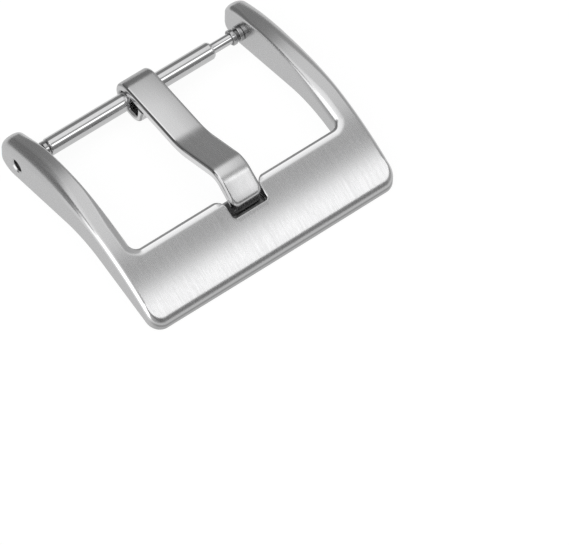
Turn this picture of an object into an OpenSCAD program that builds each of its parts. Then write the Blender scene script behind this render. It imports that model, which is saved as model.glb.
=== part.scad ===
// Tang buckle for a watch strap: a one-piece frame, a tang and a sprung bar.
// X runs across the strap, -Y points at the free end of the strap, +Z is the outer face.
// The origin is under the middle of the frame, on the plane that the buckle rests on.

/* [Strap] */
// Width of the strap end that the bar carries, between the arms
strap_w = 20; // [16:1:24]

/* [Frame lengths] */
// Bar axis to the front wall
front_reach = 18.3; // [17.5:0.1:20]
// Bar axis to the front edge of the window
window_reach = 12.8; // [12:0.2:13.6]
// Bar axis to the back ends of the arms
back_reach = 2.5; // [1.9:0.1:2.8]
// Bar axis to the crown of the arch
crown_reach = 6; // [5.6:0.2:7.2]
// Thickness of each arm
arm_t = 1.9; // [1.6:0.1:2.6]

/* [Frame heights] */
// Height of the bar axis over the resting plane
bar_h = 1.8; // [1.6:0.1:2]
// Height of the crown of the arch
crown_h = 4.9; // [4.5:0.1:5.3]
// Height of the front wall
front_h = 1; // [0.9:0.1:1.5]
// Slope of the underside, up from each foot, in degrees
under_slope = 13; // [8:1:15]
// Radius that joins the two slopes of the underside
under_r = 10; // [4:1:16]
// Crown of the front foot, whose middle is this much lower than its ends
foot_crown = 0.04; // [0.03:0.01:0.08]

/* [Frame edges] */
// Radius of the arms' ends, seen from the side
nose_r = 1.7; // [1.5:0.1:1.9]
// Radius of the arms' inner back corners, seen from above
nose_inner_r = 0.7; // [0.5:0.1:0.95]
// Radius of the arms' outer back corners, seen from above
nose_outer_r = 0.7; // [0.3:0.1:0.95]
// Radius of the face's front corners
corner_r = 1.2; // [0.6:0.1:2]
// Radius of the window's front corners
window_corner_r = 0.7; // [0.4:0.1:1.2]
// Edge radius of the window's rim
rim_r = 0.45; // [0.2:0.05:0.6]
// Edge radius inside the arms, at the bar
arm_inner_r = 0.25; // [0.15:0.05:0.5]
// Edge radius round the face
face_edge_r = 0.4; // [0.15:0.05:0.6]
// Shoulder radius outside the arms, at the bar
shoulder_r = 1; // [0.4:0.1:1.2]
// Radius of the bottom edges
foot_edge_r = 0.25; // [0.1:0.05:0.3]

/* [Spring bar] */
// Diameter of the tube
tube_d = 1.5; // [1.3:0.1:1.8]
// Gap between the tube and the left flanges, with the tube slid to the left
tube_gap = 0.08; // [0.04:0.02:0.12]
// Wall of the tube
tube_wall = 0.15; // [0.12:0.01:0.2]
// Length of the drawn-in lip at each end of the tube
lip_l = 0.3; // [0.2:0.05:0.5]
// Chamfer at the ends of the tube
tube_edge = 0.1; // [0.04:0.02:0.12]
// Diameter of the tips that sit in the arms
tip_d = 1; // [0.8:0.05:1.1]
// Length of each tip beyond its flanges
tip_l = 0.85; // [0.7:0.05:1]
// Travel of a tip once it has left its hole
press_spare = 0.07; // [0.04:0.01:0.12]
// Diameter of the flanges
flange_d = 1.36; // [1.2:0.02:1.44]
// Thickness of each flange
flange_t = 0.35; // [0.25:0.05:0.45]
// Chamfer of the flanges, and half the chamfer at the end of a tip
flange_edge = 0.05; // [0.02:0.01:0.08]
// Groove between the two flanges of a tip
groove_t = 0.3; // [0.2:0.05:0.4]
// Step in radius from a head to its neck
neck_step = 0.1; // [0.08:0.01:0.12]
// Length of the head that rides inside the tube
head_l = 0.8; // [0.5:0.1:1.2]
// Free play between a head and its lip, with the bar in the frame
head_play = 0.22; // [0.1:0.02:0.4]

/* [Coil spring] */
// Wire of the coil spring
wire_d = 0.2; // [0.16:0.02:0.22]
// Pitch of the coils
coil_pitch = 0.62; // [0.62:0.02:0.8]
// Gap between the coils and the bore of the tube
coil_gap = 0.07; // [0.05:0.01:0.1]

/* [Tang] */
// Width of the strip
tang_w = 2.85; // [2.2:0.05:3.2]
// Place of the tang to the right of the middle, as it has slid on the tube
tang_slide = 0.1; // [-0.15:0.05:0.15]
// Thickness of the strip
tang_t = 0.95; // [0.8:0.05:1.1]
// Thickness of the metal round the bar
hook_t = 0.55; // [0.45:0.05:0.7]
// Length of the hook's cavity in front of the bar axis
hook_reach = 1.5; // [1.2:0.1:1.8]
// Radius inside the hook's curled end
curl_r = 0.7; // [0.6:0.05:0.75]
// Gap between the hook's end and the strip above it
curl_gap = 0.12; // [0.08:0.02:0.2]
// Extra metal at the hook's end
curl_lean = 0.25; // [0:0.05:0.3]
// Edge radius of the strip
tang_edge_r = 0.28; // [0.15:0.01:0.35]
// Bar axis to the first bend
flat_reach = 6.4; // [5.6:0.2:6.8]
// Slope up to the hump, in degrees
rise_angle = 22; // [16:1:26]
// Length of the rising stretch between its bends
rise_l = 3.7; // [3.2:0.1:4]
// Slope down to the tip, in degrees
fall_angle = 36; // [30:1:42]
// Radius of the first bend
low_bend_r = 3; // [2:0.2:4]
// Radius of the hump
hump_r = 1.6; // [1.2:0.1:2]
// Bar axis to the tip
tip_reach = 14.3; // [14:0.1:14.8]
// Radius of the tip's corners
tip_corner_r = 0.6; // [0.3:0.05:0.8]

/* [Notch] */
// Gap between the tip and the front wall of the notch
notch_front_gap = 0.45; // [0.2:0.05:0.6]
// Radius that leads from the window into the notch
notch_lead_r = 1; // [0.5:0.1:1.1]
// Radius of the notch's front corners
notch_corner_r = 0.25; // [0.1:0.05:0.4]

/* [Clearances] */
// Radial clearance of the tips, the heads, the necks and the hook
running_gap = 0.05; // [0.03:0.01:0.08]
// Gap between flat faces that meet
face_gap = 0.02; // [0.01:0.01:0.05]
// Gap on each side of the tang in its notch
side_gap = 0.22; // [0.2:0.02:0.3]

/* [Hidden] */
$fn = 48;
// How far a cutter reaches past the metal
cut_over = 1;

// Places along the buckle
total_l = front_reach + back_reach;
front_y = -total_l / 2;
back_y = total_l / 2;
bar_y = front_y + front_reach;
window_y = bar_y - window_reach;
crown_y = bar_y - crown_reach;
inner_x = strap_w / 2;
outer_x = inner_x + arm_t;

// Side profile: a round nose, two arcs that meet level at the crown, and two slopes underneath
nose_y = back_y - nose_r;
nose_to_crown = nose_y - crown_y;
back_arc_r = (pow(nose_to_crown, 2) + pow(crown_h - nose_r, 2) - pow(nose_r, 2)) / (2 * (crown_h - 2 * nose_r));
crown_to_front = crown_y - front_y;
front_arc_r = (pow(crown_to_front, 2) + pow(crown_h - front_h, 2)) / (2 * (crown_h - front_h));
top_tangent = atan2(nose_to_crown, back_arc_r - crown_h + nose_r);
under_foot_y = nose_y - nose_r * sin(under_slope);
under_foot_z = nose_r * (1 - cos(under_slope));
ridge_y = (under_foot_y + front_y + under_foot_z / tan(under_slope)) / 2;
ridge_z = (ridge_y - front_y) * tan(under_slope);

function arc_drop(r, d) = r - sqrt(max(0, r * r - d * d));
function top_z(y) =
    y > nose_y + nose_r * sin(top_tangent) ? 2 * nose_r - arc_drop(nose_r, y - nose_y)
    : y > crown_y ? crown_h - arc_drop(back_arc_r, y - crown_y)
    : crown_h - arc_drop(front_arc_r, y - crown_y);
function under_line(y) = ridge_z - abs(y - ridge_y) * tan(under_slope);
function under_arc(y) = ridge_z - under_r * (1 / cos(under_slope) - 1) - arc_drop(under_r, y - ridge_y);
function under_z(y) =
    y > under_foot_y ? arc_drop(nose_r, y - nose_y)
    : abs(y - ridge_y) < under_r * sin(under_slope) ? under_arc(y)
    : under_line(y);
// The crown fades towards the ends of the front wall, and back to the ridge of the underside
function crowned(at) =
    foot_crown * max(0, 1 - pow(at.x / inner_centre.x, 2)) * (1 - ease(at.y, front_y, ridge_y));

// Share of the way from y0 to y1, with level ends
function ease(y, y0, y1) =
    let (t = min(1, max(0, (y - y0) / (y1 - y0))))
    t * t * (3 - 2 * t);
function blend(a, b, t) = a + (b - a) * t;

// Edge radii change along the arms: a crisp edge round the face, a full shoulder at the bar
rim_full_y = window_y + 1;
shoulder_start_y = window_y + 2;
shoulder_full_y = bar_y - 3;
function inner_edge_r(y) = blend(rim_r, arm_inner_r, ease(y, rim_full_y, crown_y));
function outer_edge_r(y) = blend(face_edge_r, shoulder_r, ease(y, shoulder_start_y, shoulder_full_y));

// An edge radius takes at most this share of the height or of the width of its section
inner_h_share = 0.42;
inner_w_share = 0.35;
outer_h_share = 0.5;
outer_w_share = 0.55;
foot_share = 0.3;
least_cos = 0.3;

wall_steps = 2;
rim_steps = 3;
top_steps = 5;
shoulder_steps = 4;
under_steps = 3;

// One upright section from the inner wall to the outer wall.
// p and q are its inner and outer feet in plan, pn and qn the directions square to the walls there.
function section(p, pn, q, qn) =
    let (
        w = norm(q - p),
        along = (q - p) / w,
        pc = max(least_cos, along * pn),
        qc = max(least_cos, along * qn),
        ph = top_z(p.y) - under_z(p.y),
        qh = top_z(q.y) - under_z(q.y),
        pr = min(inner_edge_r(p.y), inner_h_share * ph, inner_w_share * w * pc),
        qr = min(outer_edge_r(q.y), outer_h_share * qh, outer_w_share * w * qc),
        pf = min(foot_edge_r, foot_share * ph, foot_share * w * pc),
        qf = min(foot_edge_r, foot_share * qh, foot_share * w * qc),
        top_start = pr / pc,
        top_end = w - qr / qc,
        foot_start = pf / pc,
        foot_end = w - qf / qc
    )
    concat(
        [for (k = [0:wall_steps]) let (a = 90 - 90 * k / wall_steps)
            [foot_start * (1 - cos(a)), -1, pf * (1 - sin(a))]],
        [for (k = [0:rim_steps]) let (a = 90 * k / rim_steps)
            [top_start * (1 - cos(a)), 1, -pr * (1 - sin(a))]],
        [for (k = [1:top_steps - 1]) [blend(top_start, top_end, k / top_steps), 1, 0]],
        [for (k = [0:shoulder_steps]) let (a = 90 - 90 * k / shoulder_steps)
            [w - (w - top_end) * (1 - cos(a)), 1, -qr * (1 - sin(a))]],
        [for (k = [0:wall_steps]) let (a = 90 * k / wall_steps)
            [w - (w - foot_end) * (1 - cos(a)), -1, qf * (1 - sin(a))]],
        [for (k = [1:under_steps - 1]) [blend(foot_end, foot_start, k / under_steps), -1, 0]]
    );
function raised(p, q, s) =
    let (at = p + (q - p) * s[0] / norm(q - p))
    [at.x, at.y, (s[1] > 0 ? top_z(at.y) : under_z(at.y) - crowned(at)) + s[2]];
function frame_ring(st) = [for (s = section(st[0], st[1], st[2], st[3])) raised(st[0], st[2], s)];

// Stations of the right half, from the middle of the face to the end of the arm
inner_centre = [inner_x - window_corner_r, window_y + window_corner_r];
outer_centre = [outer_x - corner_r, front_y + corner_r];
function turn(a) = [sin(a), -cos(a)];
function inner_corner(a) = inner_centre + window_corner_r * turn(a);
function outer_corner(a) = outer_centre + corner_r * turn(a);
face_steps = 3;
corner_steps = 6;
side_steps = 5;
arm_steps = 14;
fan_start = 8;
fan_mid = 34;
nose_angles = [2, 18, 34, 50, 62, 72, 80, 86];
side_end_y = inner_centre.y;
face_stations = [for (k = [0:face_steps]) let (x = inner_centre.x * k / face_steps)
    [[x, window_y], turn(0), [x, front_y], turn(0)]];
corner_stations = [for (k = [0:corner_steps]) let (a = blend(fan_start, fan_mid, k / corner_steps))
    [inner_corner(a), turn(a), outer_corner(90 * k / corner_steps), turn(90 * k / corner_steps)]];
side_stations = [for (k = [1:side_steps])
    let (
        a = blend(fan_mid, 90, k / side_steps),
        y = blend(outer_centre.y, side_end_y, k / side_steps)
    )
    [inner_corner(a), turn(a), [outer_x, y], turn(90)]];
arm_stations = [for (k = [1:arm_steps]) let (y = blend(side_end_y, under_foot_y, k / arm_steps))
    [[inner_x, y], turn(90), [outer_x, y], turn(90)]];
function nose_inset(r, y) = arc_drop(r, max(0, y - (back_y - r)));
nose_stations = [for (a = nose_angles) let (y = nose_y + nose_r * sin(a))
    [[inner_x + nose_inset(nose_inner_r, y), y], turn(90), [outer_x - nose_inset(nose_outer_r, y), y], turn(90)]];
half_rings = [for (st = concat(face_stations, corner_stations, side_stations, arm_stations, nose_stations))
    frame_ring(st)];
half_count = len(half_rings);
frame_rings = concat(
    [for (i = [half_count - 1:-1:1]) [for (p = half_rings[i]) [-p.x, p.y, p.z]]],
    half_rings
);

// Spring bar, from the left arm to the right
tube_r = tube_d / 2;
tip_r = tip_d / 2;
flange_r = flange_d / 2;
bore_r = tube_r - tube_wall;
head_r = bore_r - running_gap;
neck_r = head_r - neck_step;
lip_r = neck_r + running_gap;
hole_r = tip_r + running_gap;
hole_chamfer = 0.12;
flange_x = inner_x - face_gap;
flanges_l = 2 * flange_t + groove_t;
flange_end_x = flange_x - flanges_l;
press_travel = tip_l + press_spare;
neck_shown = 2 * press_travel + 2 * face_gap;
tube_start_x = -flange_end_x + tube_gap;
tube_end_x = flange_end_x - neck_shown;
tube_l = tube_end_x - tube_start_x;
neck_l = neck_shown + lip_l + head_play;
head_end_x = flange_end_x - neck_l - head_l;

// Coil spring between the two heads
coil_r = bore_r - coil_gap - wire_d / 2;
coil_end_x = head_end_x - wire_d / 2 - face_gap;
coil_turns = 2 * coil_end_x / coil_pitch;
coil_sides = 6;
rings_a_turn = 8;
coil_count = ceil(coil_turns * rings_a_turn);
function coil_point(k) =
    let (t = k / coil_count, a = 360 * coil_turns * t)
    [blend(-coil_end_x, coil_end_x, t), coil_r * cos(a), coil_r * sin(a)];
function coil_ring(k) =
    let (
        a = 360 * coil_turns * k / coil_count,
        lead = atan2(coil_pitch, 2 * PI * coil_r),
        out = [0, cos(a), sin(a)],
        side = [-cos(lead), -sin(lead) * sin(a), sin(lead) * cos(a)]
    )
    [for (j = [0:coil_sides - 1]) let (b = 360 * j / coil_sides)
        coil_point(k) + wire_d / 2 * (out * cos(b) + side * sin(b))];
coil_least_gap = coil_pitch * cos(atan2(coil_pitch, 2 * PI * coil_r)) - wire_d;
echo(coil_least_gap = coil_least_gap);

// Side profile of the tang, as pairs of an outer and an inner point about the bar axis.
// The first number runs back along Y, the second up along Z.
seat_r = tube_r + running_gap;
strip_top = seat_r + tang_t;
hook_out_r = (strip_top + seat_r + hook_t) / 2;
hook_out_z = strip_top - hook_out_r;
hook_out_y = seat_r + hook_t - hook_out_r;
curl_at = [-hook_reach + curl_r, -seat_r + curl_r];
// The strip is first bent a little tighter than its round seat, which is then cut through it
tight_r = 0.97 * seat_r;
function polar(r, a) = r * [cos(a), sin(a)];
hook_pairs = concat(
    [[[-hook_reach - hook_t - curl_lean, seat_r - curl_gap], [-hook_reach, seat_r - curl_gap]]],
    [for (a = [180:22.5:270]) [curl_at + polar(curl_r + hook_t, a), curl_at + polar(curl_r, a)]],
    [[[hook_out_y, -seat_r - hook_t], [0, -seat_r]]],
    [for (a = [-72:18:72])
        [[hook_out_y, hook_out_z] + polar(hook_out_r, a), polar(tight_r, a)]],
    [[[hook_out_y, strip_top], [0, seat_r]]]
);
mid_z = seat_r + tang_t / 2;
rise_start = [-flat_reach, mid_z];
rise_centre = rise_start + [0, low_bend_r];
rise_from = rise_centre + low_bend_r * [-sin(rise_angle), -cos(rise_angle)];
rise_to = rise_from + rise_l * [-cos(rise_angle), sin(rise_angle)];
hump_centre = rise_to + hump_r * [-sin(rise_angle), -cos(rise_angle)];
function hump_mid(a) = hump_centre + hump_r * [sin(a), cos(a)];
fall_from = hump_mid(-fall_angle);
fall_h = tang_t / cos(fall_angle);
function fall_z(y) = fall_from[1] - (fall_from[0] - y) * tan(fall_angle);
// Pair square to a strip that climbs by the angle a as it runs forward
function across(mid, a) = [mid + tang_t / 2 * [sin(a), cos(a)], mid - tang_t / 2 * [sin(a), cos(a)]];
strip_pairs = concat(
    [for (a = [0:rise_angle / 4:rise_angle]) across(rise_centre - low_bend_r * [sin(a), cos(a)], a)],
    [for (k = [0:8]) let (a = blend(rise_angle, -fall_angle, k / 8)) across(hump_mid(a), a)]
);
// The tip is cut upright, its corners are rounded in plan and its rim is broken
tip_insets = [tip_corner_r, 0.6 * tip_corner_r, 0.3 * tip_corner_r, 0.1 * tip_corner_r, 0];
tip_rim = 0.06;
tang_edge_share = 0.42;
tip_pairs = [for (s = tip_insets)
    let (y = -tip_reach + s, z = fall_z(y), h = fall_h / 2 - (s == 0 ? tip_rim : 0))
    [[y, z + h], [y, z - h]]];
function tip_half_w(s) = tang_w / 2 - arc_drop(tip_corner_r, tip_corner_r - s);
tang_pairs = concat(hook_pairs, strip_pairs, tip_pairs);
body_count = len(hook_pairs) + len(strip_pairs);
function tang_half_w(i) = i < body_count ? tang_w / 2 : tip_half_w(tip_insets[i - body_count]);
function tang_ring(i) =
    let (
        outer = tang_pairs[i][0],
        inner = tang_pairs[i][1],
        t = norm(outer - inner),
        up = (outer - inner) / t,
        mid = (outer + inner) / 2,
        hw = tang_half_w(i),
        r = min(tang_edge_r, tang_edge_share * t)
    )
    [for (c = [[1, 1, 0], [-1, 1, 90], [-1, -1, 180], [1, -1, 270]], b = [0:45:90])
        let (
            x = c[0] * (hw - r) + r * cos(c[2] + b),
            v = c[1] * (t / 2 - r) + r * sin(c[2] + b),
            at = mid + v * up
        )
        [x, bar_y + at[0], bar_h + at[1]]];

// The notch takes the tip: its floor lies just under the tip's lower edge
notch_w = tang_w + 2 * side_gap;
notch_y = bar_y - tip_reach - notch_front_gap;
notch_z = bar_h + fall_z(-tip_reach) - fall_h / 2 - running_gap;
notch_half = concat(
    [[notch_w / 2 + notch_lead_r, window_y + cut_over]],
    [for (a = [0:15:90])
        [notch_w / 2 + notch_lead_r * (1 - sin(a)), window_y - notch_lead_r * (1 - cos(a))]],
    [for (a = [0:30:90])
        [notch_w / 2 - notch_corner_r * (1 - cos(a)), notch_y + notch_corner_r * (1 - sin(a))]]
);
notch_outline = concat(notch_half, [for (i = [len(notch_half) - 1:-1:0]) [-notch_half[i].x, notch_half[i].y]]);

// Solid through a list of rings that have the same number of points.
// Each end face starts at a ring's second point, which lies on a rounded edge, not on a straight one.
module loft(rings) {
    n = len(rings[0]);
    last = len(rings) - 1;
    polyhedron(
        points = [for (r = rings) each r],
        faces = concat(
            [[for (i = [1:n]) i % n]],
            [for (k = [0:last - 1], i = [0:n - 1]) let (j = (i + 1) % n) [k * n + i, (k + 1) * n + i, (k + 1) * n + j]],
            [for (k = [0:last - 1], i = [0:n - 1]) let (j = (i + 1) % n) [k * n + i, (k + 1) * n + j, k * n + j]],
            [[for (i = [n + 1:-1:2]) last * n + i % n]]
        ),
        convexity = 10
    );
}

// Turns a profile of radius and place along the bar into a round piece on the bar axis
module turned(profile) {
    translate([0, bar_y, bar_h]) rotate([0, 90, 0]) rotate_extrude() polygon(profile);
}

module arm_hole(side) {
    translate([side * (inner_x + arm_t / 2), bar_y, bar_h]) rotate([0, 90, 0]) {
        cylinder(h = arm_t + cut_over, r = hole_r, center = true);
        for (end = [-1, 1])
            translate([0, 0, end * arm_t / 2])
                cylinder(h = 2 * hole_chamfer, r1 = hole_r + (1 - end) * hole_chamfer,
                    r2 = hole_r + (1 + end) * hole_chamfer, center = true);
    }
}

module frame() {
    color("silver") difference() {
        loft(frame_rings);
        translate([0, 0, notch_z]) linear_extrude(height = crown_h) polygon(notch_outline);
        arm_hole(-1);
        arm_hole(1);
    }
}

module tang() {
    color("darkgray") translate([tang_slide, 0, 0]) difference() {
        loft([for (i = [0:len(tang_pairs) - 1]) tang_ring(i)]);
        translate([0, bar_y, bar_h]) rotate([0, 90, 0]) cylinder(h = tang_w + cut_over, r = seat_r, center = true);
    }
}

module spring_bar_tube() {
    color("whitesmoke") turned([
        [lip_r, tube_start_x],
        [tube_r - tube_edge, tube_start_x],
        [tube_r, tube_start_x + tube_edge],
        [tube_r, tube_end_x - 2 * tube_edge],
        [tube_r - tube_edge, tube_end_x],
        [lip_r, tube_end_x],
        [lip_r, tube_end_x - lip_l],
        [bore_r, tube_end_x - lip_l],
        [bore_r, tube_start_x + lip_l],
        [lip_r, tube_start_x + lip_l]
    ]);
}

// A tip with two flanges, a neck and the head that the spring pushes, pointing along +X
module plunger() {
    tip_end_x = flange_x + tip_l;
    groove_x = flange_x - flange_t;
    color("gainsboro") turned([
        [0, tip_end_x],
        [tip_r - 2 * flange_edge, tip_end_x],
        [tip_r, tip_end_x - 2 * flange_edge],
        [tip_r, flange_x],
        [flange_r - flange_edge, flange_x],
        [flange_r, flange_x - flange_edge],
        [flange_r, groove_x],
        [tip_r, groove_x],
        [tip_r, groove_x - groove_t],
        [flange_r, groove_x - groove_t],
        [flange_r, flange_end_x + flange_edge],
        [flange_r - flange_edge, flange_end_x],
        [neck_r, flange_end_x],
        [neck_r, flange_end_x - neck_l],
        [head_r, flange_end_x - neck_l],
        [head_r, head_end_x],
        [0, head_end_x]
    ]);
}

module right_plunger() {
    plunger();
}

module left_plunger() {
    mirror([1, 0, 0]) plunger();
}

module coil_spring() {
    color("dimgray") translate([0, bar_y, bar_h]) loft([for (k = [0:coil_count]) coil_ring(k)]);
}

frame();
tang();
spring_bar_tube();
left_plunger();
right_plunger();
coil_spring();
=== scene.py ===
import math

import bmesh
import bpy
import numpy as np
from mathutils import Matrix, Vector


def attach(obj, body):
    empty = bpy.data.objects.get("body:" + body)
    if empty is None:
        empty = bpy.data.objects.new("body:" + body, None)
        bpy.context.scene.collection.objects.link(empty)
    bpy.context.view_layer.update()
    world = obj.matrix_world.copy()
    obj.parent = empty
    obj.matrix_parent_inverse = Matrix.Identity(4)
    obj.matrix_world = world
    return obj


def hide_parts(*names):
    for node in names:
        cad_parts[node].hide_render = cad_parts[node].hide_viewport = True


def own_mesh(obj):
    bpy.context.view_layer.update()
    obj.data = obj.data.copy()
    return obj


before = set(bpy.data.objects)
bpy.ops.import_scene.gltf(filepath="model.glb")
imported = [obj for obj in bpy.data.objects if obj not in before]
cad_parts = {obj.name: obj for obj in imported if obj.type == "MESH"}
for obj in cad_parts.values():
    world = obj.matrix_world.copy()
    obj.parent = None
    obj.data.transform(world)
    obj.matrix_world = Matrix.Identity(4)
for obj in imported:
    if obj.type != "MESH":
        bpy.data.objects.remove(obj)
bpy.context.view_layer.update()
mm = 0.001  # sizes in this script are in millimetres
barY, barZ = 7.9, 1.8  # the spring bar's axis, back from the middle and up from the ground
quarter = math.pi / 2
print("frame loaded:", sorted(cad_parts))


class Wire:  # a socket of a node tree, so that sums on sockets are written as sums in Python
    def __init__(self, net, socket):
        self.net = net
        self.socket = socket

    def also(self, name):  # another output of the same node
        return Wire(self.net, self.socket.node.outputs[name])

    def __add__(self, other):
        return self.net.sum("ADD", self, other)

    def __radd__(self, other):
        return self.net.sum("ADD", other, self)

    def __sub__(self, other):
        return self.net.sum("SUBTRACT", self, other)

    def __rsub__(self, other):
        return self.net.sum("SUBTRACT", other, self)

    def __mul__(self, other):
        return self.net.sum("MULTIPLY", self, other)

    def __rmul__(self, other):
        return self.net.sum("MULTIPLY", other, self)

    def __truediv__(self, other):
        return self.net.sum("DIVIDE", self, other)

    def __rtruediv__(self, other):
        return self.net.sum("DIVIDE", other, self)

    def __abs__(self):
        return self.net.sum("ABSOLUTE", self)

    def sin(self):
        return self.net.sum("SINE", self)

    def cos(self):
        return self.net.sum("COSINE", self)

    def root(self):
        return self.net.sum("SQRT", self)

    def least(self, other):
        return self.net.sum("MINIMUM", self, other)

    def most(self, other):
        return self.net.sum("MAXIMUM", self, other)

    def above(self, other):  # 1 where it is above, else 0
        return self.net.sum("GREATER_THAN", self, other)

    def clamped(self, low=0.0, high=1.0):
        return self.most(low).least(high)

    def easedFrom(self, low, high):  # 0 at low to 1 at high, with level ends
        share = ((self - low) / (high - low)).clamped()
        return share * share * (3 - 2 * share)


class Net:
    def __init__(self, tree):
        self.tree = tree

    # settings are set before inputs, which are values or wires
    def add(self, kind, settings=None, inputs=None, output=0):
        node = self.tree.nodes.new(kind)
        for name, value in (settings or {}).items():
            setattr(node, name, value)
        for name, value in (inputs or {}).items():
            if isinstance(value, Wire):
                self.tree.links.new(value.socket, node.inputs[name])
            else:
                node.inputs[name].default_value = value
        return Wire(self, node.outputs[output]) if node.outputs else node

    def sum(self, operation, *values):
        return self.add("ShaderNodeMath", {"operation": operation}, dict(enumerate(values)))

    def parts(self, vector):
        x = self.add("ShaderNodeSeparateXYZ", None, {0: vector})
        return x, x.also("Y"), x.also("Z")

    def vector(self, x, y, z):
        return self.add("ShaderNodeCombineXYZ", None, {0: x, 1: y, 2: z})

    def steps(self, value, knots, levels):  # straight lines through the knots
        total = levels[0]
        for start, end, low, high in zip(knots, knots[1:], levels, levels[1:]):
            if high != low:
                total = total + ((value - start) / (end - start)).clamped() * (high - low)
        return total


def newShapeTree(name, sizes):
    tree = bpy.data.node_groups.new(name, "GeometryNodeTree")
    for size, value in sizes.items():
        kind = "NodeSocketInt" if isinstance(value, int) else "NodeSocketFloat"
        socket = tree.interface.new_socket(name=size, in_out="INPUT", socket_type=kind)
        socket.default_value = value
    tree.interface.new_socket(name="Geometry", in_out="OUTPUT", socket_type="NodeSocketGeometry")
    net = Net(tree)
    entry = tree.nodes.new("NodeGroupInput")
    return net, {size: Wire(net, entry.outputs[size]) for size in sizes}


def finishShapeTree(net, geometry, material):
    made = net.add("GeometryNodeRealizeInstances", None, {0: geometry})
    made = net.add("GeometryNodeSetMaterial", None, {"Geometry": made, "Material": material})
    exitNode = net.tree.nodes.new("NodeGroupOutput")
    net.tree.links.new(made.socket, exitNode.inputs[0])


def bake(piece):  # what the modifiers make becomes a plain mesh
    deps = bpy.context.evaluated_depsgraph_get()
    mesh = bpy.data.meshes.new_from_object(
        piece.evaluated_get(deps), preserve_all_data_layers=True, depsgraph=deps
    )
    old = piece.data
    piece.modifiers.clear()
    piece.data = mesh
    bpy.data.meshes.remove(old)
    mesh.name = piece.name
    return piece


def grow(name, net, sizes):  # a piece made by a shape tree
    piece = addPiece(name, bpy.data.meshes.new(name))
    modifier = piece.modifiers.new("shape", "NODES")
    modifier.node_group = net.tree
    for item in net.tree.interface.items_tree:
        if item.in_out == "INPUT":
            modifier[item.identifier] = sizes[item.name]
    return bake(piece)


def addPiece(name, mesh):
    piece = bpy.data.objects.new(name, mesh)
    bpy.context.scene.collection.objects.link(piece)
    return piece


def meshOf(name, points, faces, material=None):
    mesh = bpy.data.meshes.new(name)
    mesh.from_pydata([tuple(p) for p in points], [], faces)
    mesh.validate()
    mesh.update()
    if material:
        mesh.materials.append(material)
    mesh.shade_smooth()
    return mesh


def newMaterial(name):
    material = bpy.data.materials.new(name)
    material.use_nodes = True
    material.node_tree.nodes.clear()
    return material, Net(material.node_tree)


# colour and roughness are those of satin metal; the other colour and shine are those of its polished
# places, whose brighter colour is partly a painted highlight
steelLooks = {
    "frame": {
        "colour": 0.61, "polishAndSheen": 0.88, "roughness": 0.27, "shine": 0.10,
        "grain": 0.03, "streaks": 6.0, "bump": 0.03,
    },
    "tang": {
        "colour": 0.70, "polishAndSheen": 0.85, "roughness": 0.27, "shine": 0.10,
        "grain": 0.03, "streaks": 6.0, "bump": 0.03,
    },
    "bar": {
        "colour": 0.66, "polishAndSheen": 0.80, "roughness": 0.12, "shine": 0.12,
        "grain": 0.04, "streaks": 3.0, "bump": 0.05,
    },
    "wire": {
        "colour": 0.45, "polishAndSheen": 0.60, "roughness": 0.30, "shine": 0.30,
        "grain": 0.05, "streaks": 4.0, "bump": 0.1,
    },
}
brushing = {
    "streakLength": 0.12, "grainAcross": 12.0, "grainAlong": 2.0, "detail": 2.0,
    "roughSpread": 0.3, "depth": 0.01, "paintedShade": 0.8, "coolness": 1.006,
}


def steel(name, look, shares):  # shares gives how polished the metal is at a place, its brighter colour partly a painted highlight, and how much painted shade darkens it
    material, net = newMaterial(name)
    place = net.add("ShaderNodeTexCoord", None, None, "Object")
    x, y, z = (part * (1 / mm) for part in net.parts(place))

    def noise(across, along):
        return net.add("ShaderNodeTexNoise", None, {
            "Vector": net.vector(x * across, y * along, z * along),
            "Scale": 1.0, "Detail": brushing["detail"], "Roughness": 0.5,
        }) - 0.5

    brush = noise(look["streaks"], brushing["streakLength"])
    brush = brush + noise(brushing["grainAcross"], brushing["grainAlong"])
    polishAndSheen, shadeShare = shares(net, x, y, z)
    satin = 1 - polishAndSheen
    # polished places take a smoother finish and a brighter colour, the brighter colour partly a painted
    # highlight
    level = look["colour"] * (1 + 2 * look["grain"] * brush) * satin + look["polishAndSheen"] * polishAndSheen
    # painted shade: the colour is darkened by the painted shade share
    level = level * (1 - brushing["paintedShade"] * shadeShare)
    rough = look["roughness"] * (1 + brushing["roughSpread"] * brush)
    rough = look["shine"] + (rough - look["shine"]) * satin
    bump = net.add("ShaderNodeBump", None, {
        "Strength": look["bump"], "Distance": brushing["depth"] * mm, "Height": brush * satin})
    colour = net.add("ShaderNodeCombineColor", None, {
        0: level, 1: level, 2: level * brushing["coolness"]})
    metal = net.add("ShaderNodeBsdfPrincipled", None, {
        "Base Color": colour, "Metallic": 1.0, "Roughness": rough.clamped(0.05, 0.6), "Normal": bump})
    net.add("ShaderNodeOutputMaterial", None, {"Surface": metal})
    return material


# where the shares of painted shade, and of polish with its partly painted highlight, rise, in millimetres
notchPaintedShade = {
    "side": (1.6, 1.66), "front": (-6.88, -6.82), "back": (-5.2, -4.9),
    "depth": (2.75, 3.0), "floor": (2.3, 2.5), "slope": 0.42, "slopeFrom": -6.85,
}
# painted highlight and painted shade on the tang: its polished band, its edge lines, and the darker hook
# and tip
tangSheenAndShade = {
    "middle": 0.1, "polishSheen": (1.14, 1.24), "shadeLineStart": (1.22, 1.3), "shadeLineEnd": (1.4, 1.42),
    "line": 0.7, "hook": 0.35, "hookStart": (4, 9), "tip": 0.18, "tipEnd": (-5, -3.5),
}
plungerPaintedShade = {"start": 8.95, "all": 0.35, "groove": 0.55, "grooveDepth": (0.54, 0.66)}


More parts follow.
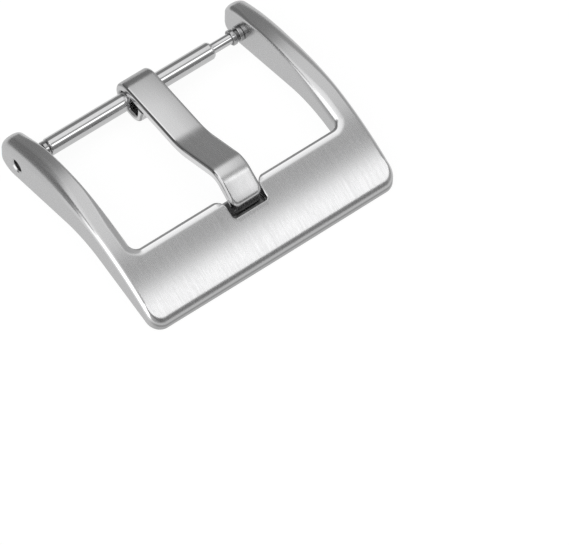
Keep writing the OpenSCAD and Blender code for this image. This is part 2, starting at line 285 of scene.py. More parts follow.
def frameShares(net, x, y, z):  # painted shade darkens the notch's floor and walls
    # polish share: a smoother finish, and a brighter colour that is partly a painted highlight
    rim = net.add("ShaderNodeAttribute", {"attribute_name": "polishSheenShare"}, None, "Fac")
    # painted shade stored on the frame, with the notch's painted shade taken where it is darker
    paintedDark = net.add("ShaderNodeAttribute", {"attribute_name": "frameShadeShare"}, None, "Fac")
    across = 1 - abs(x).easedFrom(*notchPaintedShade["side"])
    along = y.easedFrom(*notchPaintedShade["front"]) * (1 - y.easedFrom(*notchPaintedShade["back"]))
    fallen = z - notchPaintedShade["slope"] * (y - notchPaintedShade["slopeFrom"])
    deep = (1 - fallen.easedFrom(*notchPaintedShade["depth"])) * z.easedFrom(*notchPaintedShade["floor"])
    return rim, paintedDark.most(across * along * deep)


def tangShares(net, x, y, z):  # polished sides, their brighter colour partly a painted highlight, with a painted shade line along each edge and painted shade on the hook and near the tip
    side = abs(x - tangSheenAndShade["middle"])
    line = side.easedFrom(*tangSheenAndShade["shadeLineStart"]) * (1 - side.easedFrom(*tangSheenAndShade["shadeLineEnd"]))
    hook = tangSheenAndShade["hook"] * y.easedFrom(*tangSheenAndShade["hookStart"])
    tip = tangSheenAndShade["tip"] * (1 - y.easedFrom(*tangSheenAndShade["tipEnd"]))
    return side.easedFrom(*tangSheenAndShade["polishSheen"]), (tangSheenAndShade["line"] * line).most(hook + tip)


def barShares(net, x, y, z):  # painted shade darkens the ends of the two plungers, which sit at and in the arms, and their grooves most
    back, up = y - barY, z - barZ
    groove = 1 - (back * back + up * up).root().easedFrom(*plungerPaintedShade["grooveDepth"])
    paintedShade = plungerPaintedShade["all"] + plungerPaintedShade["groove"] * groove
    return 0.0, abs(x).above(plungerPaintedShade["start"]) * paintedShade


def wireShares(net, x, y, z):
    return 0.0, 0.0


frameSteel = steel("brushedFrameSteel", steelLooks["frame"], frameShares)
tangSteel = steel("brushedTangSteel", steelLooks["tang"], tangShares)
barSteel = steel("polishedBarSteel", steelLooks["bar"], barShares)
wireSteel = steel("springWire", steelLooks["wire"], wireShares)
print("materials made")

# frame: a closed section carried round the window, from one arm end to the other
buckle = {
    "Inner Half Width": 10.0,
    "Outer Half Width": 11.9,
    "Front": -10.4,
    "Back": 10.4,
    "Window Edge": -4.9,
    "Crown": 1.9,
    "Crown Height": 4.9,
    "Front Height": 1.0,
    "Nose Radius": 1.7,
    "Nose Inner Radius": 0.7,
    "Nose Outer Radius": 0.7,
    "Corner Radius": 1.2,
    "Window Corner Radius": 0.7,
    "Rim Depth": 0.45,
    "Rim Width": 0.75,
    "Arm Inner Radius": 0.25,
    "Nose Dome": 0.35,
    "Face Edge Radius": 0.4,
    "Shoulder Radius": 1.0,
    "Foot Edge Radius": 0.25,
    "Foot Crown": 0.04,
    "Under Slope": 13.0,
    "Under Radius": 10.0,
    "Points Per Edge": 12,
}
treeSizes = (  # the other sizes are used below, before the tree is built
    "Crown Height", "Nose Inner Radius", "Nose Outer Radius", "Rim Depth", "Rim Width", "Arm Inner Radius",
    "Nose Dome", "Face Edge Radius", "Shoulder Radius", "Foot Edge Radius", "Foot Crown", "Under Radius",
    "Points Per Edge",
)
edgeLimits = {  # the most that an edge's rounding takes of the section's height and width
    "rim": (0.42, 0.35), "shoulder": (0.5, 0.55), "foot": (0.3, 0.3),
}
leastSquare = 0.3  # the least sine of the angle between a section and its walls
windowLead = (8, 34, 90)  # degrees round the window's corner at three of the station marks
seamWidth = 0.003  # points this close are joined where the section's skin meets itself
blends = {  # where along the buckle the edges of the face turn into those of the arms
    "rim": (buckle["Window Edge"] + 1, buckle["Crown"]),
    "shoulder": (buckle["Window Edge"] + 2, barY - 3),
    "armEnd": (barY - 1.5, barY + 1.5),
}
rimSheenAndShade = {  # the shares of polish, partly a painted highlight, and of painted shade along the rim of the window and the edges
    "armLoss": 0.6, "sideLoss": 0.45, "endLoss": 0.5, "edge": 0.7,
    "frontShadeLine": 0.6, "frontWallShade": 0.25, "windowShadeLine": 0.35,
}
stationCounts = [20, 6, 26, 26, 60, 36]  # along the face, lead, corner, side, arm and nose

# places that follow from the sizes
frontY, backY, windowY = buckle["Front"], buckle["Back"], buckle["Window Edge"]
crownY, crownZ = buckle["Crown"], buckle["Crown Height"]
noseR = buckle["Nose Radius"]
noseY = backY - noseR
slope = math.radians(buckle["Under Slope"])
backRun, frontRun = noseY - crownY, crownY - frontY
backArcR = (backRun**2 + (crownZ - noseR) ** 2 - noseR**2) / (2 * (crownZ - 2 * noseR))
frontFall = crownZ - buckle["Front Height"]
frontArcR = (frontRun**2 + frontFall**2) / (2 * frontFall)
tangentY = noseY + noseR * math.sin(math.atan2(backRun, backArcR - crownZ + noseR))
footY, footZ = noseY - noseR * math.sin(slope), noseR * (1 - math.cos(slope))
ridgeY = (footY + frontY + footZ / math.tan(slope)) / 2
ridgeZ = (ridgeY - frontY) * math.tan(slope)


def drop(radius, away):  # how far an arc has fallen at a distance from its highest line
    return radius - (radius * radius - away * away).most(0.0).root()


def topAt(size, y):
    arcs = size["Crown Height"] - drop(frontArcR, (crownY - y).most(0.0))
    arcs = arcs - drop(backArcR, (y - crownY).most(0.0))
    nose = 2 * noseR - drop(noseR, y - noseY)
    beyond = y.above(tangentY)
    return beyond * nose + (1 - beyond) * arcs


def underAt(size, y):
    away = abs(y - ridgeY)
    line = ridgeZ - away * math.tan(slope)
    underR = size["Under Radius"]
    arc = ridgeZ - underR * (1 / math.cos(slope) - 1) - drop(underR, away)
    nearRidge = 1 - away.above(underR * math.sin(slope))
    beyond = y.above(footY)
    ahead = nearRidge * arc + (1 - nearRidge) * line
    return beyond * drop(noseR, y - noseY) + (1 - beyond) * ahead


def wallAt(run, straight, radius, startY):  # the place after a run from the middle, and its direction
    bend = ((run - straight) / radius).clamped(0, quarter)
    rise = (run - (straight + radius * quarter)).most(0.0)
    x = run.least(straight) + radius * bend.sin()
    y = startY + radius * (1 - bend.cos()) + rise
    return x, y, bend.sin(), bend.cos()


def wallsAt(net, size, station):  # the inner and the outer wall at a station
    windowR, cornerR = buckle["Window Corner Radius"], buckle["Corner Radius"]
    innerStraight = buckle["Inner Half Width"] - windowR
    outerStraight = buckle["Outer Half Width"] - cornerR
    armLength = footY - (windowY + windowR)
    sideLength = windowY + windowR - (frontY + cornerR)
    innerRuns = [0, innerStraight] + [innerStraight + windowR * math.radians(a) for a in windowLead]
    innerRuns.append(innerRuns[-1] + armLength)
    outerRuns = [0, innerStraight, outerStraight, outerStraight + cornerR * quarter]
    outerRuns += [outerRuns[-1] + sideLength, outerRuns[-1] + sideLength + armLength]
    knots = [sum(stationCounts[:i]) / sum(stationCounts) for i in range(7)]
    noseTurn = net.steps(station, knots[5:], [-slope, quarter])
    noseRun = noseR * (noseTurn.sin() + math.sin(slope))
    innerRun = net.steps(station, knots[:6], innerRuns) + noseRun
    outerRun = net.steps(station, knots[:6], outerRuns) + noseRun
    inX, inY, inSin, inCos = wallAt(innerRun, innerStraight, windowR, windowY)
    outX, outY, outSin, outCos = wallAt(outerRun, outerStraight, cornerR, frontY)

    def inset(radius, y):
        return drop(radius, (y - (backY - radius)).most(0.0))

    inX = inX + inset(size["Nose Inner Radius"], inY)
    outX = outX - inset(size["Nose Outer Radius"], outY)
    return (inX, inY, inSin, inCos), (outX, outY, outSin, outCos)


# shares of polish and of painted shade: the rim and the edges are polished, their brighter colour partly a
# painted highlight, and painted shade makes dark lines under the front edge and at the edge of the window
# and darkens the front wall
def frameMarks(part, rimMix, shoulderMix, inSin, outCos):
    # polish on the rim and the shoulder edges, whose brighter colour is partly a painted highlight
    polishSheen = part[2].easedFrom(0.1, 0.5) * (1 - rimSheenAndShade["endLoss"] * part[2].easedFrom(0.6, 1))
    polishSheen = polishSheen * (1 - part[3].easedFrom(0, 0.15))
    polishSheen = polishSheen * (1 - rimSheenAndShade["armLoss"] * rimMix) * (1 - rimSheenAndShade["sideLoss"] * inSin)
    front = outCos.easedFrom(0.2, 0.8)
    edge = part[4].easedFrom(0.1, 0.3) * (1 - part[4].easedFrom(0.8, 1)) * (1 - shoulderMix)
    polishSheen = polishSheen + rimSheenAndShade["edge"] * edge * (1 - front)
    wallShare = part[5].easedFrom(0.1, 0.4)
    paintedDark = rimSheenAndShade["frontShadeLine"] * part[4].easedFrom(0.7, 0.95) * (1 - wallShare)
    paintedDark = front * (paintedDark + rimSheenAndShade["frontWallShade"] * wallShare)
    inside = part[1].easedFrom(0.7, 1) * (1 - part[2].easedFrom(0.15, 0.4))
    return polishSheen, paintedDark + rimSheenAndShade["windowShadeLine"] * inside * (1 - rimMix)


def buildFrame():
    sizes = {name: buckle[name] for name in treeSizes}
    sizes["Stations"] = 2 * sum(stationCounts) + 1
    net, size = newShapeTree("buckleFrame", sizes)
    grid = net.add("GeometryNodeMeshGrid", None, {
        "Size X": 2.0, "Size Y": 8.0,
        "Vertices X": size["Stations"], "Vertices Y": 8 * size["Points Per Edge"] + 1,
    })
    s, t, _ = net.parts(net.add("GeometryNodeInputPosition"))
    station, turn = abs(s), t + 4.0
    innerWall, outerWall = wallsAt(net, size, station)
    inX, inY, inSin, inCos = innerWall
    outX, outY, outSin, outCos = outerWall

    # the section's own sizes
    stepX, stepY = outX - inX, outY - inY
    width = (stepX * stepX + stepY * stepY).root()
    stepX, stepY = stepX / width, stepY / width
    inSquare = (stepX * inSin - stepY * inCos).most(leastSquare)
    outSquare = (stepX * outSin - stepY * outCos).most(leastSquare)
    inHeight, outHeight = topAt(size, inY) - underAt(size, inY), topAt(size, outY) - underAt(size, outY)
    rimMix, shoulderMix = inY.easedFrom(*blends["rim"]), outY.easedFrom(*blends["shoulder"])
    armRim = size["Arm Inner Radius"] + size["Nose Dome"] * inY.easedFrom(*blends["armEnd"])
    rim = size["Rim Depth"] * (1 - rimMix) + armRim * rimMix
    rimWide = size["Rim Width"] * (1 - rimMix) + armRim * rimMix
    shoulder = size["Face Edge Radius"] * (1 - shoulderMix) + size["Shoulder Radius"] * shoulderMix

    def limited(radius, kind, height, square):
        ofHeight, ofWidth = edgeLimits[kind]
        return radius.least(ofHeight * height).least(ofWidth * width * square)

    rim, rimWide = limited(rim, "rim", inHeight, inSquare), limited(rimWide, "rim", inHeight, inSquare)
    shoulder = limited(shoulder, "shoulder", outHeight, outSquare)
    inFoot = limited(size["Foot Edge Radius"], "foot", inHeight, inSquare)
    outFoot = limited(size["Foot Edge Radius"], "foot", outHeight, outSquare)

    # once round the section, in eight parts: inner foot, inner wall, rim, top,
    # shoulder, outer wall, outer foot and underside
    part = [(turn - float(i)).clamped() for i in range(8)]
    arcs = {i: part[i] * quarter for i in (0, 2, 4, 6)}
    rimAcross, shoulderAcross = rimWide / inSquare, shoulder / outSquare
    inFootAcross, outFootAcross = inFoot / inSquare, outFoot / outSquare
    across = inFootAcross * (1 - arcs[0].sin()) + rimAcross * (1 - arcs[2].cos())
    # on the face, more points lie near the edges
    topShare = part[3] + (part[3].easedFrom(0, 1) - part[3]) * (1 - rimMix)
    across = across + topShare * (width - shoulderAcross - rimAcross) + shoulderAcross * arcs[4].sin()
    across = across - outFootAcross * (1 - arcs[6].cos())
    across = across - part[7] * (width - outFootAcross - inFootAcross)
    level = part[1] - part[5]  # 0 on the underside, 1 on the top
    lift = inFoot * (1 - arcs[0].cos()) * (1 - part[1]) - rim * (1 - arcs[2].sin()) * part[1]
    lift = lift - shoulder * (1 - arcs[4].cos()) * (1 - part[5])
    lift = lift + outFoot * (1 - arcs[6].sin()) * part[5]
    x, y = inX + stepX * across, inY + stepY * across
    fromMiddle = x / (buckle["Inner Half Width"] - buckle["Window Corner Radius"])
    crown = size["Foot Crown"] * (1 - fromMiddle * fromMiddle).most(0.0)
    crown = crown * (1 - y.easedFrom(frontY, ridgeY))
    z = (underAt(size, y) - crown) * (1 - level) + topAt(size, y) * level + lift
    side = net.sum("SIGN", s)
    place = net.vector(x * side * mm, y * mm, z * mm)

    # the marks are stored before the points move
    marked = grid
    for name, share in zip(("polishSheenShare", "frameShadeShare"), frameMarks(part, rimMix, shoulderMix, inSin, outCos)):
        marked = net.add("GeometryNodeStoreNamedAttribute", {"data_type": "FLOAT", "domain": "POINT"}, {
            "Geometry": marked, "Name": name, "Value": share})
    shaped = net.add("GeometryNodeSetPosition", None, {"Geometry": marked, "Position": place})
    joined = net.add("GeometryNodeMergeByDistance", None, {"Geometry": shaped, "Distance": seamWidth * mm})
    smooth = net.add("GeometryNodeSetShadeSmooth", None, {"Geometry": joined})
    finishShapeTree(net, smooth, frameSteel)
    return grow("buckleFrame", net, sizes)


# the notch for the tang's tip and the two holes for the bar, cut with soft edges
notch = {
    "width": 3.29, "frontReach": 14.75, "floorHeight": 2.541, "leadRadius": 1.0,
    "cornerRadius": 0.25, "edgeRadius": 0.13, "cutterBehind": 0.6, "cutterAbove": 1.5,
}
armHole = {"radius": 0.55, "chamfer": 0.12, "cutterBeyond": 0.5, "mouth": 1.02}
finishing = {"mergeWithin": 0.0001, "sharpAngle": 32}  # millimetres and degrees
turning = {"segments": 96, "cutSegments": 72, "arcPoints": 7}  # points round the bar and along an arc


def arcDrop(radius, away):
    return radius - math.sqrt(max(0.0, radius**2 - away**2))


def faceHeight(y):  # the face's top, with the rounded rim of the window
    depth, wide = buckle["Rim Depth"], buckle["Rim Width"]
    fromRim = max(0.0, wide - max(0.0, windowY - y)) * depth / wide
    return crownZ - arcDrop(frontArcR, crownY - min(y, windowY)) - arcDrop(depth, fromRim)


# places, outward directions and shares of the soft edge, from the right side round the front to the left
def notchOutline():
    half, lead, corner = notch["width"] / 2, notch["leadRadius"], notch["cornerRadius"]
    endY = barY - notch["frontReach"]
    right = [(half + lead, windowY + notch["cutterBehind"], 0, 1, 0.0)]
    for turn in np.linspace(0, quarter, 25):
        share = min(1.0, turn / 0.9)
        x, y = half + lead * (1 - math.sin(turn)), windowY - lead * (1 - math.cos(turn))
        right.append((x, y, math.sin(turn), -math.cos(turn), share * share * (3 - 2 * share)))
    for y in np.linspace(windowY - lead, endY + corner, 26)[1:-1]:
        right.append((half, y, 1, 0, 1.0))
    for turn in np.linspace(0, quarter, 9):
        x, y = half - corner * (1 - math.cos(turn)), endY + corner * (1 - math.sin(turn))
        right.append((x, y, math.cos(turn), -math.sin(turn), 1.0))
    right += [(x, endY, 0, -1, 1.0) for x in np.linspace(half - corner, 0, 16)[1:]]
    return right + [(-x, y, -outX, outY, share) for x, y, outX, outY, share in right[-2::-1]]


def ringSkin(rings, closed=True):  # faces between rings of points, with end faces when closed
    count = len(rings[0])
    faces = []
    for i in range(len(rings) - 1):
        for j in range(count):
            k = (j + 1) % count
            faces.append((i * count + j, i * count + k, (i + 1) * count + k, (i + 1) * count + j))
    if closed:
        faces.append(tuple(range(count - 1, -1, -1)))
        faces.append(tuple(range((len(rings) - 1) * count, len(rings) * count)))
    return [point for ring in rings for point in ring], faces


def notchCutter():
    outline = notchOutline()
    # how far each ring lies outwards and below the top: two shares of the edge radius and a length
    steps = [(0.0, 1.0, 0.02)]
    steps += [(1 - math.cos(turn), 1 - math.sin(turn), 0.0) for turn in np.linspace(0, math.radians(80), 7)]
    steps.append((0.95, -0.01, 0.0))
    rings = [[(x * mm, y * mm, notch["floorHeight"] * mm) for x, y, *_ in outline]]
    for outShare, sinkShare, below in steps:
        ring = []
        for x, y, outX, outY, share in outline:
            edge = notch["edgeRadius"] * share
            out, sink = edge * outShare, edge * sinkShare + below
            placeX, placeY = x + outX * out, y + outY * out
            ring.append((placeX * mm, placeY * mm, (faceHeight(placeY) - sink) * mm))
        rings.append(ring)
    rings.append([(x, y, z + notch["cutterAbove"] * mm) for x, y, z in rings[-1]])
    return addPiece("notchCutter", meshOf("notchCutter", *ringSkin(rings)))


# a profile of places along the bar and radii, turned round the bar; a hollow one ends where it starts
def latheMesh(name, profile, segments, material=None, hollow=False):
    angles = np.linspace(0, 2 * math.pi, segments, endpoint=False)
    poles = [end for end in (0, -1) if profile[end][1] == 0]

    def ringAt(along, radius):
        places = [(barY + radius * math.cos(a), barZ + radius * math.sin(a)) for a in angles]
        return [(along * mm, y * mm, z * mm) for y, z in places]

    rings = [ringAt(along, radius) for along, radius in profile if radius > 0]
    points, faces = ringSkin(rings, closed=not hollow and not poles)
    for end in poles:
        points.append((profile[end][0] * mm, barY * mm, barZ * mm))
        start = 0 if end == 0 else (len(rings) - 1) * segments
        for j in range(segments):
            faces.append((len(points) - 1, start + j, start + (j + 1) % segments))
    return meshOf(name, points, faces, material)


def holeCutter(side):
    radius, chamfer = armHole["radius"], armHole["chamfer"]
    inside, outside = buckle["Inner Half Width"], buckle["Outer Half Width"]
    wide, beyond = radius + chamfer * armHole["mouth"], armHole["cutterBeyond"]
    sines = np.sin(np.linspace(0, quarter, turning["arcPoints"]))
    mouth = [(chamfer * sine, radius + chamfer * (1 - sine)) for sine in sines]
    profile = [(inside - beyond, wide)] + [(inside + depth, around) for depth, around in mouth]
    profile += [(outside - depth, around) for depth, around in mouth[::-1]] + [(outside + beyond, wide)]
    profile = [(side * along, around) for along, around in profile]
    return addPiece("holeCutter", latheMesh("holeCutter", profile, turning["cutSegments"]))


def carve(body, cutters):
    facedOutwards(body.data)
    for cutter in cutters:
        facedOutwards(cutter.data)
        modifier = body.modifiers.new("cut", "BOOLEAN")
        modifier.operation, modifier.solver, modifier.object = "DIFFERENCE", "EXACT", cutter
        bake(body)
        print("cut by", cutter.name, "->", len(body.data.vertices), "points")
        bpy.data.objects.remove(cutter)
    body.data.materials.clear()
    body.data.materials.append(frameSteel)
    body.data.polygons.foreach_set("material_index", [0] * len(body.data.polygons))
    return body


def facedOutwards(mesh):  # every face turned to the outside, and corners over an angle kept sharp
    work = bmesh.new()
    work.from_mesh(mesh)
    bmesh.ops.remove_doubles(work, verts=work.verts, dist=finishing["mergeWithin"] * mm)
    bmesh.ops.recalc_face_normals(work, faces=work.faces)
    if work.calc_volume(signed=True) < 0:
        bmesh.ops.reverse_faces(work, faces=work.faces)
    work.to_mesh(mesh)
    work.free()
    mesh.shade_smooth()
    mesh.set_sharp_from_angle(angle=math.radians(finishing["sharpAngle"]))


def dress(piece, body, node):  # the piece moves with its body and stands in for its solid
    facedOutwards(piece.data)
    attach(piece, body)
    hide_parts(node)
    print(piece.name, "made:", len(piece.data.vertices), "points")


cutFrame = carve(buildFrame(), [notchCutter(), holeCutter(1), holeCutter(-1)])
dress(cutFrame, "frame", "frame")

# tang: a bent strip, with a ring round each pair of points, outer and inner, measured from the bar's axis
strip = {
    "width": 2.85, "thickness": 0.95, "slide": 0.1, "edgeRadius": 0.28, "edgeShare": 0.42,
    "seatRadius": 0.8, "hookThickness": 0.55, "hookReach": 1.5,
    "curlRadius": 0.7, "curlGap": 0.12, "curlLean": 0.25,
    "flatReach": 6.01, "lowBendRadius": 5.0, "riseAngle": 22.0, "riseLength": 3.31,
    "humpRadius": 1.6, "fallAngle": 36.0, "tipReach": 14.3, "tipCornerRadius": 0.6, "tipEdgeRadius": 0.16,
}
halfStrip = strip["width"] / 2
fall = math.radians(strip["fallAngle"])
hookTop = strip["seatRadius"] + strip["thickness"]
hookR = (hookTop + strip["seatRadius"] + strip["hookThickness"]) / 2  # outside of the hook
hookCentre = (strip["seatRadius"] + strip["hookThickness"] - hookR, hookTop - hookR)


def polar(centre, radius, degrees):
    turn = math.radians(degrees)
    return np.array(centre) + radius * np.array([math.cos(turn), math.sin(turn)])


def hookPairs():  # its end, the curl, the flat below the bar and the seat round it
    seat, hook, curl = strip["seatRadius"], strip["hookThickness"], strip["curlRadius"]
    reach, endZ = -strip["hookReach"], seat - strip["curlGap"]
    curlAt = (reach + curl, -seat + curl)
    endOuter, endInner = np.array([reach - hook - strip["curlLean"], endZ]), np.array([reach, endZ])
    toOuter, toInner = polar(curlAt, curl + hook, 180) - endOuter, polar(curlAt, curl, 180) - endInner
    pairs = []
    for share in (0.0, 0.02, 0.06, 0.12, 0.25, 0.5, 0.75):
        pairs.append((endOuter + toOuter * share, endInner + toInner * share))
    for turn in np.linspace(180, 270, 19):
        pairs.append((polar(curlAt, curl + hook, turn), polar(curlAt, curl, turn)))
    curlOuter, curlInner = pairs[-1]
    toOuter, toInner = np.array([hookCentre[0], -seat - hook]) - curlOuter, np.array([0, -seat]) - curlInner
    for share in (0.25, 0.5, 0.75):
        pairs.append((curlOuter + toOuter * share, curlInner + toInner * share))
    for turn in np.linspace(-90, 90, 46):
        pairs.append((polar(hookCentre, hookR, turn), polar((0, 0), seat, turn)))
    return pairs


def upFrom(climb):  # the direction square to the strip where it climbs by an angle
    return np.array([math.sin(climb), math.cos(climb)])


def across(mid, climb):
    lean = strip["thickness"] / 2 * upFrom(climb)
    return mid + lean, mid - lean


def stretchPairs():  # the flat, the low bend, the rise and the hump, and where the fall begins
    middle, angle = strip["seatRadius"] + strip["thickness"] / 2, math.radians(strip["riseAngle"])
    bendR, humpR = strip["lowBendRadius"], strip["humpRadius"]
    flatFrom, bendFrom = np.array([hookCentre[0], middle]), np.array([-strip["flatReach"], middle])
    pairs = [across(flatFrom * (1 - share) + bendFrom * share, 0) for share in np.linspace(0, 1, 14)[1:-1]]
    bendCentre = bendFrom + np.array([0, bendR])
    pairs += [across(bendCentre - bendR * upFrom(turn), turn) for turn in np.linspace(0, angle, 13)]
    riseFrom = bendCentre - bendR * upFrom(angle)
    riseTo = riseFrom + strip["riseLength"] * np.array([-math.cos(angle), math.sin(angle)])
    for share in np.linspace(0, 1, 9)[1:-1]:
        pairs.append(across(riseFrom * (1 - share) + riseTo * share, angle))
    humpAt = riseTo - humpR * upFrom(angle)
    pairs += [across(humpAt + humpR * upFrom(turn), turn) for turn in np.linspace(angle, -fall, 26)]
    return pairs, humpAt + humpR * upFrom(-fall)


def tipPairs(fallFrom, lean):  # the end stands upright and has rounded corners
    end, corner, rim = -strip["tipReach"], strip["tipCornerRadius"], strip["tipEdgeRadius"]
    places = [*np.linspace(fallFrom[0], end + corner, 8)[1:]]
    places += [end + corner * (1 - math.sin(a)) for a in np.linspace(0, quarter, 17)[1:]]
    pairs = []
    for place in places:
        fromTip = place - end
        upright = min(1.0, (place - fallFrom[0]) / (end + corner - fallFrom[0]))
        mid = np.array([place, fallFrom[1] - (fallFrom[0] - place) * math.tan(fall)])
        height = strip["thickness"] / math.cos(fall) / 2 - arcDrop(rim, max(0.0, rim - fromTip))
        tilt = lean / 2 * (1 - upright) + np.array([0, height]) * upright
        pairs.append((mid + tilt, mid - tilt, halfStrip - arcDrop(corner, max(0.0, corner - fromTip))))
    return pairs


def tangRing(outer, inner, half):  # the strip's outline at a pair, with rounded edges
    thick = np.linalg.norm(outer - inner)
    up, mid = (outer - inner) / thick, (outer + inner) / 2
    radius = min(strip["edgeRadius"], strip["edgeShare"] * thick)
    ring = []
    for sideX, sideUp, start in ((1, 1, 0), (-1, 1, 90), (-1, -1, 180), (1, -1, 270)):
        for turn in np.radians(start + np.linspace(0, 90, 8)):
            x = sideX * (half - radius) + radius * math.cos(turn)
            at = mid + (sideUp * (thick / 2 - radius) + radius * math.sin(turn)) * up
            ring.append(((x + strip["slide"]) * mm, (barY + at[0]) * mm, (barZ + at[1]) * mm))
    return ring


def tangRings():
    stretch, fallFrom = stretchPairs()
    lean = stretch[-1][0] - stretch[-1][1]
    pairs = [(outer, inner, halfStrip) for outer, inner in hookPairs() + stretch]
    return [tangRing(*pair) for pair in pairs + tipPairs(fallFrom, lean)]


tangMesh = meshOf("buckleTang", *ringSkin(tangRings()), tangSteel)
dress(addPiece("buckleTang", tangMesh), "tang", "tang")

# spring bar: turned pieces whose corners are rounded
springBar = {
    "tubeRadius": 0.75, "boreRadius": 0.6, "tubeStart": -8.9, "tubeEnd": 7.1,
    "lipLength": 0.3, "lipRadius": 0.5, "tipRadius": 0.5, "tipEnd": 10.83,
    "flangeRadius": 0.68, "flangeThickness": 0.35, "flangeFace": 9.98,
    "grooveWidth": 0.3, "neckRadius": 0.45, "neckLength": 2.4, "headRadius": 0.55, "headLength": 0.8,
    "travel": 0.92,
}


def rounded(corners):  # corners of (along, radius, rounding) become a line with arcs at the corners
    line = []
    for index, (along, radius, rounding) in enumerate(corners):
        here = np.array([along, radius])
        if rounding == 0 or index in (0, len(corners) - 1):
            line.append((along, radius))
            continue
        before, after = np.array(corners[index - 1][:2]) - here, np.array(corners[index + 1][:2]) - here
        before, after = before / np.linalg.norm(before), after / np.linalg.norm(after)
        half = math.acos(max(-1.0, min(1.0, float(before @ after)))) / 2
        back = rounding / math.tan(half)
        centre = here + (before + after) / np.linalg.norm(before + after) * rounding / math.sin(half)
        start, end = here + before * back - centre, here + after * back - centre
        bend = math.pi - 2 * half
        for share in np.linspace(0, 1, turning["arcPoints"]):
            mixed = start * math.sin((1 - share) * bend) + end * math.sin(share * bend)
            line.append(tuple(centre + mixed / math.sin(bend)))
    return line


def turnedPiece(name, body, node, corners, hollow=False):
    mesh = latheMesh(name, rounded(corners), turning["segments"], barSteel, hollow)
    dress(addPiece(name, mesh), body, node)


def tubeCorners():
    start, end, lip = springBar["tubeStart"], springBar["tubeEnd"], springBar["lipLength"]
    outer, bore, lipR = springBar["tubeRadius"], springBar["boreRadius"], springBar["lipRadius"]
    return [
        (start + lip, bore, 0), (start + lip, lipR, 0.05), (start, lipR, 0.04),
        (start, outer - 0.06, 0.04), (start + 0.09, outer, 0.12), (end - 0.2, outer, 0.05),
        (end, outer - 0.1, 0.02), (end, lipR, 0.04), (end - lip, lipR, 0.05),
        (end - lip, bore, 0), (start + lip, bore, 0),
    ]


def plungerCorners(side):
    face, flange, thick = springBar["flangeFace"], springBar["flangeRadius"], springBar["flangeThickness"]
    tip, neck, head = springBar["tipRadius"], springBar["neckRadius"], springBar["headRadius"]
    tipEnd, grooveStart = springBar["tipEnd"], face - thick
    grooveEnd = grooveStart - springBar["grooveWidth"]
    flangesEnd = grooveEnd - thick
    neckEnd = flangesEnd - springBar["neckLength"]
    headEnd = neckEnd - springBar["headLength"]
    corners = [
        (tipEnd, 0, 0), (tipEnd, tip, 0.1), (face, tip, 0.02), (face, flange, 0.05),
        (grooveStart, flange, 0.05), (grooveStart, tip, 0.03),
        (grooveEnd, tip, 0.03), (grooveEnd, flange, 0.05),
        (flangesEnd, flange, 0.05), (flangesEnd, neck, 0.04),
        (neckEnd, neck, 0.02), (neckEnd, head, 0.04), (headEnd, head, 0.06), (headEnd, 0, 0),
    ]
    return [(side * along, radius, rounding) for along, radius, rounding in corners]


turnedPiece("barTube", "bar", "spring_bar_tube", tubeCorners(), hollow=True)
turnedPiece("leftTip", "left_plunger", "left_plunger", plungerCorners(-1))
turnedPiece("rightTip", "right_plunger", "right_plunger", plungerCorners(1))

# coil spring between the two heads: a helix in two halves, each of which moves with its own tip
coil = {
    "Wire Radius": 0.1, "Coil Radius": 0.43, "Half Length": 5.66, "Turns": 8.99, "End Gap": 0.01,
    "Steps Per Turn": 28, "Wire Sides": 12,
}


def buildCoil(name, start):
    sizes = {**coil, "Start": start}
    net, size = newShapeTree(name, sizes)
    helix = net.add("GeometryNodeCurveSpiral", None, {
        "Resolution": size["Steps Per Turn"], "Rotations": size["Turns"],
        "Start Radius": size["Coil Radius"], "End Radius": size["Coil Radius"],
        "Height": size["Half Length"] - size["End Gap"],
    })
    wire = net.add("GeometryNodeCurvePrimitiveCircle", None, {
        "Resolution": size["Wire Sides"], "Radius": size["Wire Radius"]})
    skin = net.add("GeometryNodeCurveToMesh", None, {
        "Curve": helix, "Profile Curve": wire, "Fill Caps": True})
    x, y, z = net.parts(net.add("GeometryNodeInputPosition"))
    place = net.vector((z + size["Start"]) * mm, (barY + x) * mm, (barZ + y) * mm)
    placed = net.add("GeometryNodeSetPosition", None, {"Geometry": skin, "Position": place})
    smooth = net.add("GeometryNodeSetShadeSmooth", None, {"Geometry": placed})
    finishShapeTree(net, smooth, wireSteel)
    return grow(name, net, sizes)


def springHalf(name, start, body):
    piece = buildCoil(name, start)
    dress(piece, body, "coil_spring")
    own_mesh(piece)


springHalf("leftCoil", -coil["Half Length"], "left_plunger")
springHalf("rightCoil", 0.0, "right_plunger")

# camera: angles in degrees, pixels to a millimetre at the bar, the pixel of the bar's middle, and lengths
shot = {
    "turn": -36.324, "height": 54.601, "scale": 12.639, "across": 139.0, "down": 92.88,
    "imageWidth": 569, "imageHeight": 545, "distance": 460.0, "sensor": 36,
    "nearest": 10, "farthest": 10000,
}
turn, height = math.radians(shot["turn"]), math.radians(shot["height"])
rightWay = Vector((math.cos(turn), math.sin(turn), 0))
upWay = Vector((-math.sin(turn) * math.sin(height), math.cos(turn) * math.sin(height), math.cos(height)))
backWay = Vector((math.sin(turn) * math.cos(height), -math.cos(turn) * math.cos(height), math.sin(height)))
barMiddle = Vector((0, barY, barZ))
aim = barMiddle + rightWay * (shot["imageWidth"] / 2 - shot["across"]) / shot["scale"]
aim = aim - upWay * (shot["imageHeight"] / 2 - shot["down"]) / shot["scale"]
cameraAt = barMiddle + backWay * shot["distance"]
cameraData = bpy.data.cameras.new("camera")
cameraData.sensor_width = shot["sensor"]
cameraData.lens = shot["scale"] * shot["distance"] * shot["sensor"] / shot["imageWidth"]
cameraData.clip_start, cameraData.clip_end = shot["nearest"] * mm, shot["farthest"] * mm
camera = addPiece("camera", cameraData)
away = (cameraAt - aim).normalized()
side = upWay.cross(away).normalized()
facing = Matrix((side, away.cross(side), away)).transposed().to_4x4()
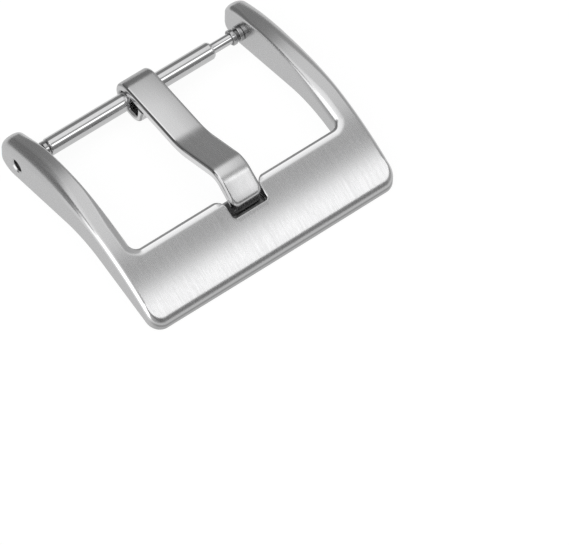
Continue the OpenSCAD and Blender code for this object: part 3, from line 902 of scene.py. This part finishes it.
camera.matrix_world = Matrix.Translation(cameraAt * mm) @ facing
bpy.context.scene.camera = camera
bpy.context.scene.view_settings.view_transform = "Standard"
print("camera set")

# floor: it glows, white for the camera and paler in reflections, and its other share keeps shadows
pale = {"colour": 0.9, "glowShare": 0.85, "glow": 0.8, "cameraGlow": 0.28, "reach": 2.0}


def buildFloor():
    material, net = newMaterial("paleFloor")
    inView = net.add("ShaderNodeLightPath", None, None, "Is Camera Ray")
    seen = (inView + inView.also("Is Glossy Ray") + inView.also("Is Transmission Ray")).least(1.0)
    lit = net.add("ShaderNodeBsdfDiffuse", None, {"Color": (*[pale["colour"]] * 3, 1)})
    glow = net.add("ShaderNodeEmission", None, {
        "Color": (1, 1, 1, 1), "Strength": pale["glow"] + pale["cameraGlow"] * inView})
    both = net.add("ShaderNodeMixShader", None, {"Fac": seen * pale["glowShare"], 1: lit, 2: glow})
    net.add("ShaderNodeOutputMaterial", None, {"Surface": both})
    reach = pale["reach"]
    corners = [(-reach, -reach, 0), (reach, -reach, 0), (reach, reach, 0), (-reach, reach, 0)]
    return addPiece("floor", meshOf("floor", corners, [(0, 1, 2, 3)], material))


floor = buildFloor()

# a softbox brightens a part of the sky, given by the sideways (x) and forward (y) parts of a direction
studio = {
    "base": 0.45,
    "edge": 0.05,
    "softboxes": {
        "leftWhite": {"x": (-1.3, -0.42), "y": (-0.62, 0.14), "extra": 1.3},
        "leftLow": {"x": (-1.3, -0.72), "y": (0.14, 0.4), "extra": 0.8},
        "overhead": {"x": (-0.42, 0.42), "y": (-0.14, 0.58), "extra": 0.62},
        "overheadLeft": {"x": (-0.42, 0.06), "y": (-0.5, -0.14), "extra": 0.4},
        "frontStrip": {"x": (0.2, 0.5), "y": (-0.67, -0.44), "extra": 1.8},
        "frontEdge": {"x": (0.2, 0.7), "y": (-1.3, -0.8), "extra": -0.2},
        "darkFront": {"x": (-0.2, 0.2), "y": (-1.3, -0.5), "extra": -0.25},
        "darkBack": {"x": (-0.75, 0.15), "y": (0.55, 1.3), "extra": -0.25},
        "dimBack": {"x": (0.15, 1.3), "y": (0.62, 1.3), "extra": -0.18},
        "leftDark": {"x": (-0.95, -0.35), "y": (0.42, 0.56), "extra": -0.28},
    },
}


def buildWorld():
    world = bpy.data.worlds.new("studio")
    bpy.context.scene.world = world
    world.use_nodes = True
    world.node_tree.nodes.clear()
    net = Net(world.node_tree)
    x, y, _ = net.parts(net.add("ShaderNodeTexCoord", None, None, "Generated"))
    edge = studio["edge"]

    def between(value, low, high):
        return value.easedFrom(low - edge, low + edge) - value.easedFrom(high - edge, high + edge)

    level = studio["base"]
    for box in studio["softboxes"].values():
        level = level + box["extra"] * (between(x, *box["x"]) * between(y, *box["y"]))
    inView = net.add("ShaderNodeLightPath", None, None, "Is Camera Ray")
    background = net.add("ShaderNodeBackground", None, {
        "Color": (1, 1, 1, 1), "Strength": level * (1 - inView) + inView})
    net.add("ShaderNodeOutputWorld", None, {"Surface": background})


buildWorld()
print("floor and light made")
